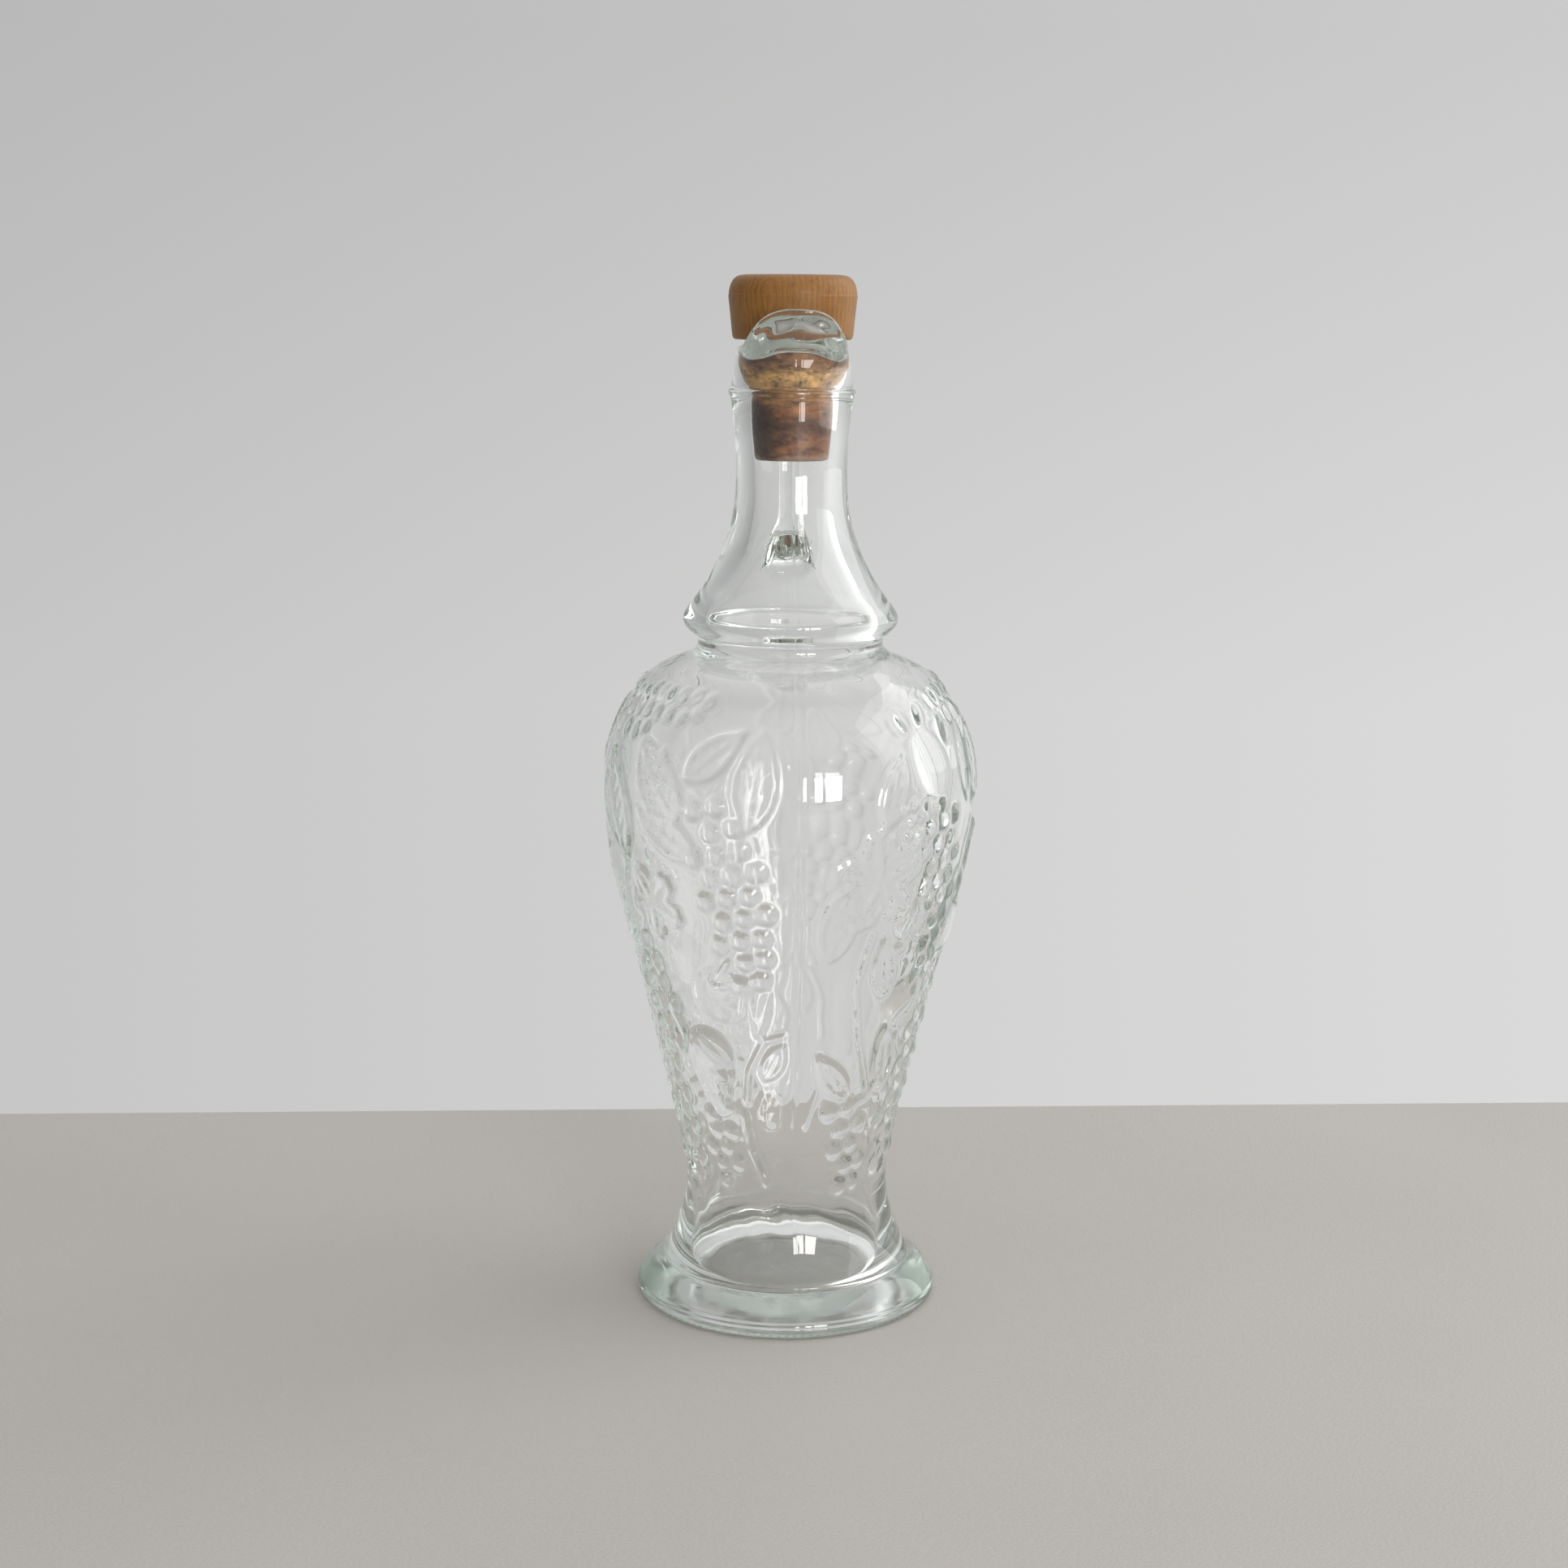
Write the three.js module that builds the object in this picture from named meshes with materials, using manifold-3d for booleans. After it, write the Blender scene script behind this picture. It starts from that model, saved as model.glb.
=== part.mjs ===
// Stoppered oil bottle: a pressed glass bottle with a pouring lip and a rear finger handle,
// closed by a tapered cork that is glued into a turned head.
// Millimetres, +Z up, the pouring lip faces -Y and the bottle stands on Z = 0.

import * as THREE from 'three';
import { mergeVertices } from 'three/addons/utils/BufferGeometryUtils.js';
import Module from 'manifold-3d';

// ---------------------------------------------------------------- driving dimensions

const OVERALL_HEIGHT = 310;

// Glass body, read from the base up as [radius, height].
const FOOT_OUTSIDE = [
  [0, 0],
  [44.6, 0],
  [45.7, 0.4],
  [46.2, 1.5],
  [45.6, 3.4],
  [43.6, 6.8],
  [41.2, 9.3],
  [38.7, 11.0],
];
const BODY_OUTSIDE = [
  [38.0, 11.5],
  [35.5, 17.0],
  [32.8, 23.5],
  [31.2, 30.0],
  [30.8, 36.0],
  [31.6, 43.0],
  [33.4, 53.5],
  [39.3, 78.5],
  [45.4, 103.5],
  [51.4, 127.5],
  [55.4, 146.0],
  [56.6, 158.0],
  [55.6, 170.0],
  [52.2, 179.5],
  [47.0, 188.5],
  [42.3, 193.6],
  [36.0, 197.0],
  [30.0, 199.4],
  [27.6, 202.2],
];
const RING_OUTSIDE = [
  [27.8, 203.6],
  [30.0, 205.8],
  [31.7, 207.8],
  [32.1, 209.6],
  [31.2, 212.2],
  [27.9, 216.6],
  [23.7, 223.2],
  [20.2, 230.6],
  [17.7, 238.6],
  [16.5, 249.0],
  [16.5, 258.0],
  [17.2, 267.5],
  [18.2, 273.8],
];

// Mouth, read from the collar over the rim and down to the bore. The sides and back follow the
// first list; the second is the same line at the front, drawn up and out into a solid pouring lip.
const MOUTH_SIDE = [
  [18.5, 276.0],
  [18.2, 278.0],
  [17.8, 280.3],
  [17.4, 282.5],
  [16.9, 284.5],
  [16.4, 286.4],
  [15.9, 288.0],
  [15.4, 289.0],
  [14.3, 289.4],
  [13.6, 289.2],
  [13.2, 288.9],
  [12.9, 288.4],
  [12.7, 287.9],
  [12.55, 287.3],
  [12.45, 286.8],
  [12.4, 286.0],
  [12.4, 284.2],
];
const MOUTH_FRONT = [
  [18.5, 276.0],
  [20.1, 279.6],
  [22.8, 283.8],
  [25.0, 287.7],
  [26.5, 291.4],
  [27.5, 294.8],
  [28.1, 297.7],
  [28.3, 299.2],
  [27.6, 300.1],
  [27.0, 299.6],
  [25.5, 298.1],
  [23.3, 296.0],
  [20.9, 293.7],
  [18.8, 291.5],
  [16.0, 289.6],
  [13.9, 287.0],
  [12.45, 284.4],
];

// How far round from the front the lip's rise and its lean fade out, in degrees.
const LIP_RISE_ANGLE = 35.5;
const LIP_LEAN_ANGLE = 53;

// Glass cavity, read from the bore down to the floor.
const CAVITY = [
  [12.4, 277.0],
  [12.4, 268.0],
  [11.6, 258.0],
  [11.0, 249.0],
  [11.2, 240.0],
  [13.2, 230.5],
  [16.6, 221.0],
  [19.6, 212.0],
  [22.8, 203.8],
  [28.2, 197.6],
  [35.6, 193.2],
  [43.4, 186.4],
  [48.8, 178.4],
  [52.2, 168.0],
  [53.0, 157.0],
  [51.6, 145.5],
  [47.8, 127.5],
  [41.8, 103.5],
  [35.7, 78.5],
  [29.8, 53.5],
  [27.4, 38.0],
  [27.9, 26.0],
  [30.2, 15.0],
  [30.4, 10.0],
  [28.0, 6.6],
  [24.0, 5.5],
  [0, 5.5],
];

// Finger handle at the back: centre line as [distance behind the axis, height].
const HANDLE_PATH = [
  [14.0, 270.3],
  [22.0, 272.4],
  [31.0, 271.6],
  [38.4, 266.6],
  [42.0, 258.0],
  [41.2, 247.5],
  [36.5, 238.0],
  [29.5, 231.2],
  [22.6, 227.8],
  [17.8, 226.8],
];
const HANDLE_HALF_WIDTH = 4.9;
const HANDLE_HALF_THICKNESS = 4.1;
const HANDLE_ROOT_FLARE = 2.2;

// Stopper.
const HEAD_BOTTOM = 291.3;
const HEAD_OUTSIDE = [
  [16.6, 0],
  [17.4, 0.3],
  [17.8, 1.3],
  [18.3, 6.5],
  [18.9, 12.6],
  [18.8, 14.6],
  [18.0, 16.8],
  [16.6, 18.2],
  [14.6, 18.7],
  [0, 18.7],
];
const SOCKET_RADIUS = 12.35;
const SOCKET_DEPTH = 8.2;
const CORK_BOTTOM = 256.5;
const CORK_OUTSIDE = [
  [0, 0],
  [10.3, 0],
  [10.8, 0.5],
  [11.3, 4.5],
  [12.0, 10.5],
  [12.0, 42.0],
  [11.5, 42.6],
  [0, 42.6],
];

const ROUND_SEGMENTS = 64;
const HANDLE_STEPS = 30;
const HANDLE_SEGMENTS = 20;

// ---------------------------------------------------------------- colours

const GLASS = new THREE.MeshStandardMaterial({
  color: 0xdce9e4,
  roughness: 0.05,
  metalness: 0,
  transparent: true,
  opacity: 0.35,
});
const CORK = new THREE.MeshStandardMaterial({ color: 0x8a5f3c, roughness: 0.85, metalness: 0 });
const HEAD = new THREE.MeshStandardMaterial({ color: 0xad7a45, roughness: 0.45, metalness: 0 });

// ---------------------------------------------------------------- helpers

// A solid of revolution about +Z from a profile of [radius, height] points.
function revolve(profile) {
  const points = profile.map(([radius, height]) => new THREE.Vector2(radius, height));
  const geometry = new THREE.LatheGeometry(points, ROUND_SEGMENTS);
  geometry.rotateX(Math.PI / 2);
  return geometry;
}

const wasm = await Module();
wasm.setup();

function toManifold(geometry) {
  const bare = geometry.clone();
  bare.deleteAttribute('normal');
  bare.deleteAttribute('uv');
  const welded = mergeVertices(bare, 1e-4);
  return new wasm.Manifold(new wasm.Mesh({
    numProp: 3,
    vertProperties: new Float32Array(welded.attributes.position.array),
    triVerts: new Uint32Array(welded.index.array),
  }));
}

function toGeometry(manifold) {
  const mesh = manifold.getMesh();
  const geometry = new THREE.BufferGeometry();
  geometry.setAttribute('position', new THREE.BufferAttribute(mesh.vertProperties, 3));
  geometry.setIndex(new THREE.BufferAttribute(mesh.triVerts, 1));
  geometry.computeVertexNormals();
  return geometry;
}

function named(name, geometry, material) {
  const mesh = new THREE.Mesh(geometry, material);
  mesh.name = name;
  return mesh;
}

// ---------------------------------------------------------------- glass bottle

const glassProfile = [
  ...FOOT_OUTSIDE,
  ...BODY_OUTSIDE,
  ...RING_OUTSIDE,
  ...MOUTH_SIDE,
  ...CAVITY,
];
const firstMouthPoint = glassProfile.indexOf(MOUTH_SIDE[0]);

// Moves the mouth's points from the side line towards the front line, most at the very front.
function shapeLip(geometry) {
  const position = geometry.attributes.position;
  for (let i = 0; i < position.count; i += 1) {
    const k = (i % glassProfile.length) - firstMouthPoint;
    if (k >= 0 && k < MOUTH_SIDE.length) {
      const x = position.getX(i);
      const y = position.getY(i);
      const fromFront = THREE.MathUtils.radToDeg(Math.atan2(Math.abs(x), -y));
      const rise = Math.exp(-((fromFront / LIP_RISE_ANGLE) ** 3));
      const lean = Math.exp(-((fromFront / LIP_LEAN_ANGLE) ** 2.5));
      const radius = THREE.MathUtils.lerp(MOUTH_SIDE[k][0], MOUTH_FRONT[k][0], lean);
      const height = THREE.MathUtils.lerp(MOUTH_SIDE[k][1], MOUTH_FRONT[k][1], rise);
      const grow = radius / MOUTH_SIDE[k][0];
      position.setXYZ(i, x * grow, y * grow, height);
    }
  }
  return geometry;
}

// An oval bar swept along the handle's centre line in the plane X = 0, wider at both roots.
function handleGeometry() {
  const path = new THREE.CatmullRomCurve3(
    HANDLE_PATH.map(([back, z]) => new THREE.Vector3(0, back, z)),
    false,
    'centripetal',
  );
  const positions = [];
  const indices = [];
  for (let i = 0; i <= HANDLE_STEPS; i += 1) {
    const along = i / HANDLE_STEPS;
    const centre = path.getPointAt(along);
    const tangent = path.getTangentAt(along);
    const nearRoot = Math.abs(2 * along - 1) ** 5;
    const halfWidth = HANDLE_HALF_WIDTH + HANDLE_ROOT_FLARE * nearRoot;
    const halfThickness = HANDLE_HALF_THICKNESS + 0.4 * HANDLE_ROOT_FLARE * nearRoot;
    for (let k = 0; k < HANDLE_SEGMENTS; k += 1) {
      const turn = (2 * Math.PI * k) / HANDLE_SEGMENTS;
      const across = halfWidth * Math.cos(turn);
      const out = halfThickness * Math.sin(turn);
      positions.push(across, centre.y - out * tangent.z, centre.z + out * tangent.y);
    }
  }
  const firstCap = positions.length / 3;
  const lastRing = HANDLE_STEPS * HANDLE_SEGMENTS;
  const start = path.getPointAt(0);
  const end = path.getPointAt(1);
  positions.push(start.x, start.y, start.z, end.x, end.y, end.z);
  for (let k = 0; k < HANDLE_SEGMENTS; k += 1) {
    const next = (k + 1) % HANDLE_SEGMENTS;
    for (let i = 0; i < HANDLE_STEPS; i += 1) {
      const a = i * HANDLE_SEGMENTS + k;
      const b = i * HANDLE_SEGMENTS + next;
      indices.push(a, a + HANDLE_SEGMENTS, b);
      indices.push(b, a + HANDLE_SEGMENTS, b + HANDLE_SEGMENTS);
    }
    indices.push(firstCap, k, next);
    indices.push(firstCap + 1, lastRing + next, lastRing + k);
  }
  const geometry = new THREE.BufferGeometry();
  geometry.setAttribute('position', new THREE.Float32BufferAttribute(positions, 3));
  geometry.setIndex(indices);
  return geometry;
}

const glassShell = toManifold(shapeLip(revolve(glassProfile)));
const glassBottle = glassShell.add(toManifold(handleGeometry()));

// ---------------------------------------------------------------- stopper

const headProfile = [
  [0, SOCKET_DEPTH],
  [SOCKET_RADIUS, SOCKET_DEPTH],
  [SOCKET_RADIUS, 0],
  ...HEAD_OUTSIDE,
];

const head = named('stopper_head', revolve(headProfile), HEAD);
head.position.z = HEAD_BOTTOM;

const cork = named('stopper_cork', revolve(CORK_OUTSIDE), CORK);
cork.position.z = CORK_BOTTOM;

const stopper = new THREE.Group();
stopper.name = 'stopper';
stopper.add(head, cork);

// ---------------------------------------------------------------- assembly

const bottle = new THREE.Group();
bottle.name = 'oil_bottle';
bottle.add(named('glass_bottle', toGeometry(glassBottle), GLASS), stopper);
bottle.userData.height = OVERALL_HEIGHT;

export default bottle;
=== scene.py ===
"""Stoppered glass oil bottle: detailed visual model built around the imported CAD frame.

The bottle stands on Z = 0 with its pouring lip towards -Y and its finger handle towards +Y. Metres.
"""

import math

import bpy
import numpy as np
from mathutils import Matrix, Vector


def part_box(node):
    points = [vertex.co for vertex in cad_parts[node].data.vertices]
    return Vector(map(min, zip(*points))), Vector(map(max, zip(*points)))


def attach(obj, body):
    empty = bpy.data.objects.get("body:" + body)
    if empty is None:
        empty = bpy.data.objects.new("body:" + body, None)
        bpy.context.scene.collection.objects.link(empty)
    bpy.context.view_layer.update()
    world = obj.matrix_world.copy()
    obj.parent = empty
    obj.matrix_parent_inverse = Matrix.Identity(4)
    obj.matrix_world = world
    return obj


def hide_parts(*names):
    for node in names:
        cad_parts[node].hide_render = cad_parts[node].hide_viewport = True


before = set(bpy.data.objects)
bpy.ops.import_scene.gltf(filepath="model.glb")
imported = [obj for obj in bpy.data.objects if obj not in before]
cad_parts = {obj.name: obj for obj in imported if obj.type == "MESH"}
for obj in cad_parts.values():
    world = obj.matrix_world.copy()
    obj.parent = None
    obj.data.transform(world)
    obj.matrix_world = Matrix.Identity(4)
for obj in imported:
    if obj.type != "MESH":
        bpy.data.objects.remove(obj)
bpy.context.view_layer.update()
MM = 0.001
RNG = np.random.default_rng(11)

HEAD_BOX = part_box("stopper_head")
CORK_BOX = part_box("stopper_cork")
HEAD_BOTTOM = HEAD_BOX[0][2] / MM
CORK_BOTTOM = CORK_BOX[0][2] / MM

# ---------------------------------------------------------------------------------------------
# Glass profile, millimetres, [radius, height]. Runs from the base up the outside, over the rim
# and down the inside. Each run is smoothed on its own, so that the edges between runs stay crisp.
# ---------------------------------------------------------------------------------------------

FOOT = [[44.3, 0.0], [45.2, 0.35], [45.9, 1.2], [46.15, 2.2], [45.75, 3.6], [44.9, 5.2],
        [43.6, 7.0], [41.9, 8.8], [40.0, 10.2], [38.6, 10.9]]
CREASE = [[38.6, 10.9], [37.9, 11.1], [37.7, 11.6], [37.9, 12.1]]
BODY = [[37.9, 12.1], [36.6, 14.6], [34.6, 19.0], [32.9, 23.5], [31.6, 28.5], [30.9, 33.5],
        [30.8, 38.0], [31.2, 43.0], [33.0, 53.5], [36.0, 66.0], [39.0, 78.5], [42.0, 91.0],
        [45.0, 103.5], [48.0, 115.5], [51.0, 127.5], [53.7, 140.0], [55.2, 149.0],
        [55.9, 157.0], [55.6, 164.5], [54.4, 171.5], [51.9, 178.5], [48.8, 184.6],
        [46.0, 188.9], [43.2, 192.2], [39.4, 195.0], [35.0, 197.1], [31.0, 198.8], [28.7, 200.2],
        [27.75, 201.6]]
NECK_RING = [[27.75, 201.6], [27.65, 202.9], [28.0, 203.9], [29.3, 205.2], [30.9, 206.7],
             [31.9, 208.2], [32.1, 209.6], [31.7, 211.2], [30.4, 213.3], [28.1, 216.3],
             [25.6, 220.0], [23.1, 224.3], [20.9, 229.0], [19.1, 234.0], [17.6, 239.4],
             [16.8, 245.0], [16.45, 250.5], [16.45, 257.0], [16.8, 263.0], [17.35, 268.5],
             [17.9, 272.6], [18.35, 275.1]]
COLLAR = [[18.35, 275.1], [18.8, 275.7], [18.95, 276.3], [18.6, 276.9], [17.9, 277.2]]
CAVITY = [[12.4, 284.2], [12.4, 277.0], [12.35, 270.0], [12.1, 265.0], [11.6, 259.5],
          [11.15, 254.0], [11.0, 248.0], [11.1, 242.0], [11.9, 236.0], [13.5, 229.5],
          [16.4, 223.0], [19.6, 217.4], [23.0, 212.6], [24.9, 209.2], [25.1, 206.4],
          [24.1, 203.4], [23.5, 201.2], [24.4, 199.1], [27.3, 197.2], [31.0, 195.4],
          [35.0, 193.3], [39.8, 190.0], [44.2, 185.5], [48.1, 179.5], [51.0, 172.0],
          [52.3, 164.0], [52.4, 155.0], [51.5, 146.0], [49.2, 134.0], [46.3, 121.5],
          [43.2, 109.0], [39.9, 96.0], [36.6, 82.5], [33.2, 68.5], [30.2, 55.0],
          [28.2, 45.0], [27.3, 36.0], [27.6, 28.0], [28.9, 20.0], [30.1, 13.5],
          [30.0, 9.6], [28.4, 6.9], [25.2, 5.7]]
FLOOR_HEIGHT = 5.5
FLOOR_DISH = 0.7
FLOOR_RADII = (22.5, 3.0, 9)
# Underside, [radius, share of the recess's depth]: a shallow recess inside the bearing ring.
UNDERSIDE_RECESS = 0.9
UNDERSIDE = [[6.0, 1.0], [16.0, 0.97], [27.0, 0.85], [35.0, 0.5], [39.5, 0.12], [41.0, 0.0]]

COLUMNS = 480

# Knurled bearing edge, and the fine steps that the mould leaves above it.
KNURL_TEETH = COLUMNS // 4
KNURL_DEPTH = 0.36
KNURL_HEIGHT = 1.1
STEP_DEPTH = 0.10
STEP_PITCH = 1.3
STEPS_CENTRE = 3.0
STEPS_SPREAD = 1.9

# How far the parting line stands out.
SEAM_FOOT = 0.14
SEAM_CREASE = 0.10
SEAM_BODY = 0.16
SEAM_NECK = 0.12
SEAM_MOUTH = 0.14

# How uneven each surface is, by a sum of waves that is scaled by its usual peak.
WAVE_COUNT = 9
WAVE_PEAK = 4.0
FOOT_WAVE = 0.07
BODY_LONG_WAVE = 0.10
BODY_SHORT_WAVE = 0.05
NECK_WAVE = 0.05
LIP_WAVE = 0.06
CAVITY_WAVE = 0.20
FLOOR_WAVE = 0.28

# Mouth, [radius, height] at the sides and back, then [radius, height] at the very front, where it
# is drawn up and out into a solid pouring lip.
LIP_FACE = [[17.8, 277.2, 18.8, 277.15], [17.85, 277.7, 19.3, 277.6], [17.75, 279.2, 20.4, 280.1],
            [17.5, 281.6, 21.9, 283.4], [17.2, 283.6, 23.3, 286.4], [16.8, 285.3, 24.7, 289.4],
            [16.3, 287.1, 26.1, 293.1], [15.85, 288.4, 27.7, 297.6]]
LIP_RIM = [[15.85, 288.4, 27.7, 297.6], [15.6, 289.3, 28.0, 298.9], [15.0, 289.9, 28.0, 299.7],
           [14.3, 290.1, 27.7, 300.1], [13.7, 290.0, 27.2, 299.8], [13.3, 289.7, 26.7, 298.9]]
LIP_SCOOP = [[13.3, 289.7, 26.7, 298.9], [13.1, 289.3, 24.2, 296.85], [12.95, 288.9, 21.6, 294.7],
             [12.8, 288.4, 19.3, 292.8], [12.7, 287.9, 17.4, 291.25], [12.6, 287.3, 16.2, 290.5],
             [12.5, 286.6, 14.4, 290.1], [12.42, 285.6, 13.0, 289.6], [12.4, 284.2, 12.45, 288.6]]
LIP_RISE_ANGLE = 34.3
LIP_LEAN_ANGLE = 49.0


def catmull(points, step):
    """Points about step apart on a smooth curve through the given ones (chord-length Catmull-Rom)."""
    p = np.asarray(points, float)
    t = np.concatenate([[0.0], np.cumsum(np.linalg.norm(np.diff(p, axis=0), axis=1))])
    ghost_a, ghost_b = 2 * p[0] - p[1], 2 * p[-1] - p[-2]
    q = np.vstack([ghost_a, p, ghost_b])
    u = np.concatenate([[-t[1]], t, [2 * t[-1] - t[-2]]])
    slope = (q[2:] - q[:-2]) / (u[2:] - u[:-2])[:, None]
    count = max(2, int(round(t[-1] / step)) + 1)
    s = np.linspace(0.0, t[-1], count)
    k = np.clip(np.searchsorted(t, s, side="right") - 1, 0, len(t) - 2)
    h = (t[k + 1] - t[k])[:, None]
    w = ((s - t[k]) / (t[k + 1] - t[k]))[:, None]
    return (
        (2 * w**3 - 3 * w**2 + 1) * p[k]
        + (w**3 - 2 * w**2 + w) * h * slope[k]
        + (-2 * w**3 + 3 * w**2) * p[k + 1]
        + (w**3 - w**2) * h * slope[k + 1]
    )


def smoothstep(lo, hi, x):
    w = np.clip((x - lo) / (hi - lo), 0.0, 1.0)
    return w * w * (3 - 2 * w)


# ---------------------------------------------------------------------------------------------
# Embossing: a generic fruit-and-vine pattern, as raised shapes on the unrolled body. Each shape is
# placed by (angle from the front in degrees, height in mm) and drawn in local millimetres.
# ---------------------------------------------------------------------------------------------


class Relief:
    """A height field in millimetres over (column angle, row) of the body's outside."""

    def __init__(self, angles, radii, heights):
        run = np.hypot(np.diff(radii), np.diff(heights))
        self.along = np.concatenate([[0.0], np.cumsum(run)])
        self.angles = angles
        self.radii = radii
        self.heights = heights
        self.field = np.zeros((len(heights), len(angles)))

    def local(self, angle, height, turn=0.0):
        """Millimetres across and up from a point on the body, turned anticlockwise by turn degrees."""
        v0 = np.interp(height, self.heights, self.along)
        r0 = np.interp(height, self.heights, self.radii)
        off = (self.angles - angle + 180.0) % 360.0 - 180.0
        s = np.radians(off)[None, :] * (0.5 * (self.radii + r0))[:, None]
        v = (self.along - v0)[:, None] + np.zeros_like(s)
        c, d = math.cos(math.radians(turn)), math.sin(math.radians(turn))
        return c * s + d * v, -d * s + c * v

    def raise_to(self, shape):
        self.field = np.maximum(self.field, shape)

    def press(self, shape):
        self.field = self.field - shape

    def soften(self, rounds):
        """Rounds off every edge a little, as the mould and the fire polish do."""
        for _ in range(rounds):
            f = self.field
            f = 0.5 * f + 0.25 * (np.roll(f, 1, axis=1) + np.roll(f, -1, axis=1))
            self.field = f.copy()
            self.field[1:-1] = 0.5 * f[1:-1] + 0.25 * (f[:-2] + f[2:])

    def dome(self, angle, height, across, up, tall, turn=0.0, power=0.75):
        s, v = self.local(angle, height, turn)
        q = (s / across) ** 2 + (v / up) ** 2
        self.raise_to(tall * np.clip(1.0 - q, 0.0, 1.0) ** power)

    def line(self, points, width, tall):
        """A rounded rib along points given as (angle, height)."""
        best = np.full_like(self.field, 1e9)
        for (a0, z0), (a1, z1) in zip(points[:-1], points[1:]):
            s, v = self.local(a0, z0)
            r = np.interp(0.5 * (z0 + z1), self.heights, self.radii)
            ds = math.radians(a1 - a0) * r
            dv = np.interp(z1, self.heights, self.along) - np.interp(z0, self.heights, self.along)
            t = np.clip((s * ds + v * dv) / (ds * ds + dv * dv + 1e-9), 0.0, 1.0)
            best = np.minimum(best, np.hypot(s - t * ds, v - t * dv))
        self.raise_to(tall * np.clip(1.0 - (best / width) ** 2, 0.0, 1.0) ** 0.7)

    def leaf(self, angle, height, length, width, tall=0.75, turn=0.0, veins=5):
        """A pointed leaf with a raised edge, a midrib and slanted side veins."""
        s, v = self.local(angle, height, turn)
        t = v / length + 0.5
        inside_t = np.clip(t, 0.0, 1.0)
        half = 0.5 * width * np.sin(np.pi * inside_t**0.8) ** 0.75
        edge = half - np.abs(s)
        body = smoothstep(-0.4, 1.8, edge) * ((t > 0) & (t < 1))
        rim = np.exp(-(((edge - 1.5) / 0.9) ** 2)) * ((t > 0) & (t < 1))
        rib = np.exp(-((s / 0.75) ** 2))
        slant = (v - 0.75 * np.abs(s)) / (length / (veins + 1.0))
        side = np.exp(-((np.abs(slant - np.round(slant)) * length / (veins + 1.0) / 0.8) ** 2))
        cup = 1.0 - 0.45 * np.clip(edge / (0.5 * width), 0.0, 1.0)
        veined = np.maximum(rim, np.maximum(rib, 0.55 * side))
        self.raise_to(tall * body * cup + 0.5 * body * veined)

    def vine_leaf(self, angle, height, radius, tall=0.7, turn=0.0, lobes=5):
        """A lobed leaf with one vein to each lobe."""
        s, v = self.local(angle, height, turn)
        rho = np.hypot(s, v)
        phi = np.arctan2(s, v)
        wave = np.abs(np.cos(0.5 * lobes * phi))
        outline = radius * (0.56 + 0.44 * wave**0.8) * (1.0 + 0.035 * np.sin(21.0 * phi))
        edge = outline - rho
        body = smoothstep(-0.4, 1.8, edge)
        rim = np.exp(-(((edge - 1.5) / 1.0) ** 2))
        spoke = 2.0 * np.pi / lobes
        away = np.abs(phi - spoke * np.round(phi / spoke))
        vein = np.exp(-((rho * np.sin(np.clip(away, 0.0, 1.5)) / 0.8) ** 2)) * (rho > 0.8)
        twig = np.abs(rho * np.sin(away) - 0.7 * (rho % 6.5)) / 0.8
        small = 0.4 * np.exp(-(twig**2))
        self.raise_to(tall * body * (0.55 + 0.3 * np.clip(rho / radius, 0.0, 1.0))
                      + 0.5 * body * np.maximum(rim, np.maximum(vein, small)))

    def bunch(self, start, end, half_width, berry, tall=1.5):
        """Grapes packed in rows from start to end, as (angle, height)."""
        (a0, z0), (a1, z1) = start, end
        r = np.interp(0.5 * (z0 + z1), self.heights, self.radii)
        ds, dv = math.radians(a1 - a0) * r, z1 - z0
        length = math.hypot(ds, dv)
        rows = max(2, int(length / (1.85 * berry)) + 1)
        for i in range(rows):
            t = i / (rows - 1)
            wide = half_width * (0.35 + 0.65 * math.sin(math.pi * (0.15 + 0.72 * t)) ** 0.8)
            count = max(1, int(round(2.0 * wide / (1.95 * berry))))
            for k in range(count):
                stagger = 0.5 * (i % 2) - 0.25
                across = (k - 0.5 * (count - 1) + stagger) * 2.02 * berry + RNG.uniform(-0.3, 0.3)
                grow = berry * RNG.uniform(0.93, 1.08)
                angle = a0 + (a1 - a0) * t + math.degrees((across * -dv / length) / r)
                height = z0 + dv * t + across * ds / length + RNG.uniform(-0.4, 0.4)
                self.dome(angle, height, grow, grow * RNG.uniform(0.98, 1.12),
                          tall * RNG.uniform(0.9, 1.05), turn=RNG.uniform(-20, 20))

    def apple(self, angle, height, size):
        """A fruit with a dimple, a heel and a stalk."""
        self.dome(angle, height, size, 0.95 * size, 1.8)
        s, v = self.local(angle, height)
        dimple = 0.9 * np.exp(-((s / (0.26 * size)) ** 2 + ((v - 0.62 * size) / (0.2 * size)) ** 2))
        self.press(dimple)
        heel = 0.55 * np.exp(-((s / (0.16 * size)) ** 2 + ((v + 0.6 * size) / (0.12 * size)) ** 2))
        self.press(heel)
        r = np.interp(height, self.heights, self.radii)
        lean = math.degrees(0.35 * size / r)
        self.line([(angle, height + 0.6 * size), (angle + lean, height + 1.15 * size)], 0.9, 1.5)

    def pear(self, angle, height, size, turn=0.0):
        """A fruit that tapers upwards, or the way it is turned."""
        c, d = math.cos(math.radians(turn)), math.sin(math.radians(turn))
        r = np.interp(height, self.heights, self.radii)
        # Four domes in a row, as (distance along, half width, half length) in sizes.
        domes = ((0.0, 1.0, 1.05), (0.55, 0.86, 0.95), (1.1, 0.62, 0.9), (1.5, 0.46, 0.8))
        for step, across, up in domes:
            off_s, off_v = -d * step * size, c * step * size
            self.dome(angle + math.degrees(off_s / r), height + off_v, across * size, up * size,
                      1.8 - 0.3 * step, turn=turn)


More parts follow.
